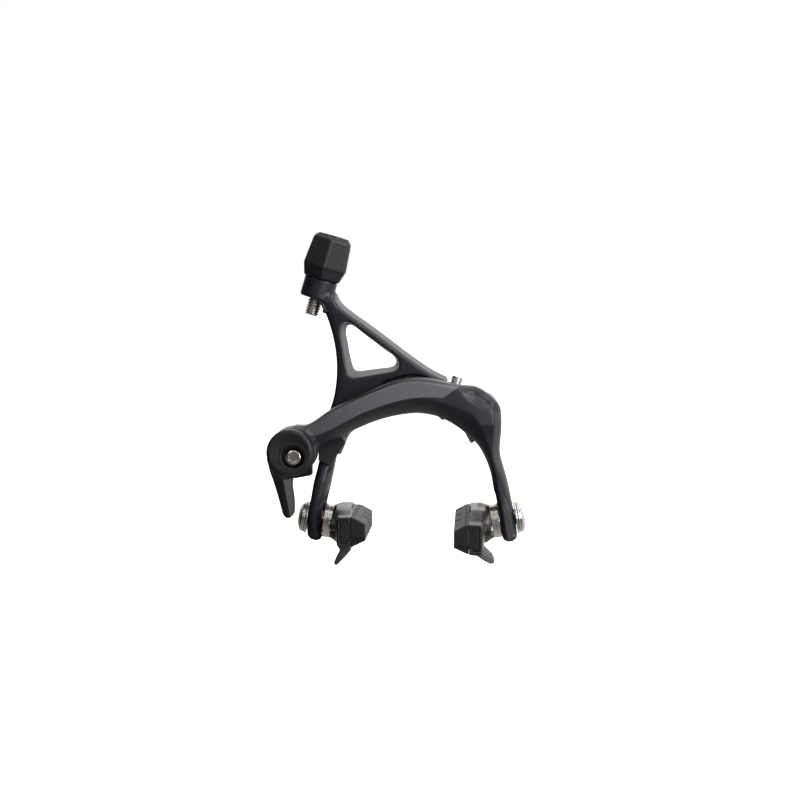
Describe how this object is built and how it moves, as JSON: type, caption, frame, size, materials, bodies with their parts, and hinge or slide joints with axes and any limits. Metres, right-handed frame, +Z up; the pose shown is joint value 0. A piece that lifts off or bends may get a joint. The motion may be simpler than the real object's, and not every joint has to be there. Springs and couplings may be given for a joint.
{
  "type": "bicycle rim brake caliper",
  "caption": "Dual-pivot rim brake caliper: crossing arms, barrel adjuster, quick-release cable anchor, centring screw, cartridge pads with wheel guides and a rear mounting stud.",
  "frame": {"origin": "on the mounting bolt axis, at the plane of the spacer's fork face", "axes": "+Y rearward along the mounting stud towards the fork, +Z up, +X to the right seen from the front"},
  "size_m": [0.0919, 0.0631, 0.1169],
  "materials": {
    "arm_paint": "satin black anodised forging",
    "black_plastic": "matte moulded plastic",
    "steel": "bright stainless fasteners",
    "dark_steel": "black oxide steel",
    "spring_steel": "drawn wire",
    "bronze": "sintered bronze bush",
    "alloy_black": "black anodised extrusion",
    "rubber": "brake compound",
    "guide_plastic": "grey-brown nylon"
  },
  "bodies": {
    "mount": {"centre_bolt": "steel", "pivot_nut": "dark_steel", "thrust_washers": "steel", "spacer_washer": "alloy_black", "pivot_bracket": "dark_steel", "side_pivot_pin": "steel", "spring_centre": "spring_steel"},
    "inner_arm_body": {"inner_arm": "arm_paint", "inner_arm_bushing": "bronze", "spring_shoe_left": "black_plastic", "adjuster_clip": "spring_steel"},
    "outer_arm_body": {"outer_arm": "arm_paint", "outer_arm_bushing": "bronze", "spring_shoe_right": "black_plastic"},
    "spring_left": {"spring_leg_left": "spring_steel"},
    "spring_right": {"spring_leg_right": "spring_steel"},
    "adjuster_carrier": {"housing_seat": "steel"},
    "adjuster": {"adjuster_knob": "black_plastic", "adjuster_barrel": "steel"},
    "centring_screw_body": {"centring_screw": "steel"},
    "quick_release": {"release_lever": "black_plastic", "release_spindle": "dark_steel", "spindle_ring": "steel"},
    "cable_anchor": {"anchor_bolt": "steel", "cable_clamp_plate": "dark_steel", "anchor_nut": "steel"},
    "left_pad_mount": {"left_pad_bolt": "steel", "left_pad_nut": "steel", "left_outer_washers": "steel", "left_inner_washers": "steel"},
    "left_shoe": {"left_pad_holder": "alloy_black", "left_pad_rubber": "rubber", "left_pad_screw": "steel", "left_wheel_guide": "guide_plastic"},
    "right_pad_mount": {"right_pad_bolt": "steel", "right_pad_nut": "steel", "right_outer_washers": "steel", "right_inner_washers": "steel"},
    "right_shoe": {"right_pad_holder": "alloy_black", "right_pad_rubber": "rubber", "right_pad_screw": "steel", "right_wheel_guide": "guide_plastic"}
  },
  "joints": [
    {"name": "inner_arm_pivot", "type": "hinge", "parent": "mount", "child": "inner_arm_body", "pos_m": [0, -0.012, 0], "axis": [0, -1, 0], "range_deg": [0, 8], "stiffness_Nm_per_rad": 2, "springref_deg": -8.59},
    {"name": "outer_arm_pivot", "type": "hinge", "parent": "mount", "child": "outer_arm_body", "pos_m": [0.0245, -0.015, -0.0055], "axis": [0, 1, 0], "range_deg": [0, 9.44]},
    {"name": "spring_leg_left_flex", "type": "hinge", "parent": "mount", "child": "spring_left", "pos_m": [-0.0105, -0.0065, -0.003], "axis": [0, -1, 0], "range_deg": [0, 10.6]},
    {"name": "spring_leg_right_flex", "type": "hinge", "parent": "mount", "child": "spring_right", "pos_m": [0.012, -0.0065, -0.0042], "axis": [0, 1, 0], "range_deg": [0, 4.53]},
    {"name": "adjuster_travel", "type": "slide", "parent": "inner_arm_body", "child": "adjuster_carrier", "axis": [0.2807, 0, 0.9598], "range_m": [0, 0.006]},
    {"name": "adjuster_turn", "type": "hinge", "parent": "adjuster_carrier", "child": "adjuster", "pos_m": [-0.03325, -0.014, 0.0384], "axis": [0.2807, 0, 0.9598], "range_deg": [0, 2700.1]},
    {"name": "centring_screw_turn", "type": "hinge", "parent": "outer_arm_body", "child": "centring_screw_body", "pos_m": [0.0161, -0.014, 0.0059], "axis": [0.309, 0, 0.9511], "continuous": true},
    {"name": "release_lever_turn", "type": "hinge", "parent": "outer_arm_body", "child": "quick_release", "pos_m": [-0.0422, -0.025, -0.0186], "axis": [0, 1, 0], "range_deg": [0, 120]},
    {"name": "cable_anchor_swivel", "type": "hinge", "parent": "quick_release", "child": "cable_anchor", "pos_m": [-0.041, -0.015, -0.0206], "axis": [0, 1, 0], "range_deg": [-120, 0]},
    {"name": "left_pad_height", "type": "slide", "parent": "inner_arm_body", "child": "left_pad_mount", "axis": [0.1616, 0, 0.9869], "range_m": [-0.0016, 0.0076]},
    {"name": "left_pad_turn", "type": "hinge", "parent": "left_pad_mount", "child": "left_shoe", "pos_m": [-0.0343, -0.016, -0.04415], "axis": [0.9869, 0, -0.1616], "range_deg": [-12, 12]},
    {"name": "right_pad_height", "type": "slide", "parent": "outer_arm_body", "child": "right_pad_mount", "axis": [-0.1616, 0, 0.9869], "range_m": [-0.0016, 0.0076]},
    {"name": "right_pad_turn", "type": "hinge", "parent": "right_pad_mount", "child": "right_shoe", "pos_m": [0.0343, -0.016, -0.04395], "axis": [-0.9869, 0, -0.1616], "range_deg": [-12, 12]}
  ],
  "couplings": [
    {"joint": "outer_arm_pivot", "follows": "inner_arm_pivot", "ratio": 1.18},
    {"joint": "spring_leg_left_flex", "follows": "inner_arm_pivot", "ratio": 1.325},
    {"joint": "spring_leg_right_flex", "follows": "inner_arm_pivot", "ratio": 0.566},
    {"joint": "adjuster_turn", "follows": "adjuster_travel", "rad_per_m": 7854},
    {"joint": "cable_anchor_swivel", "follows": "release_lever_turn", "ratio": -1}
  ]
}
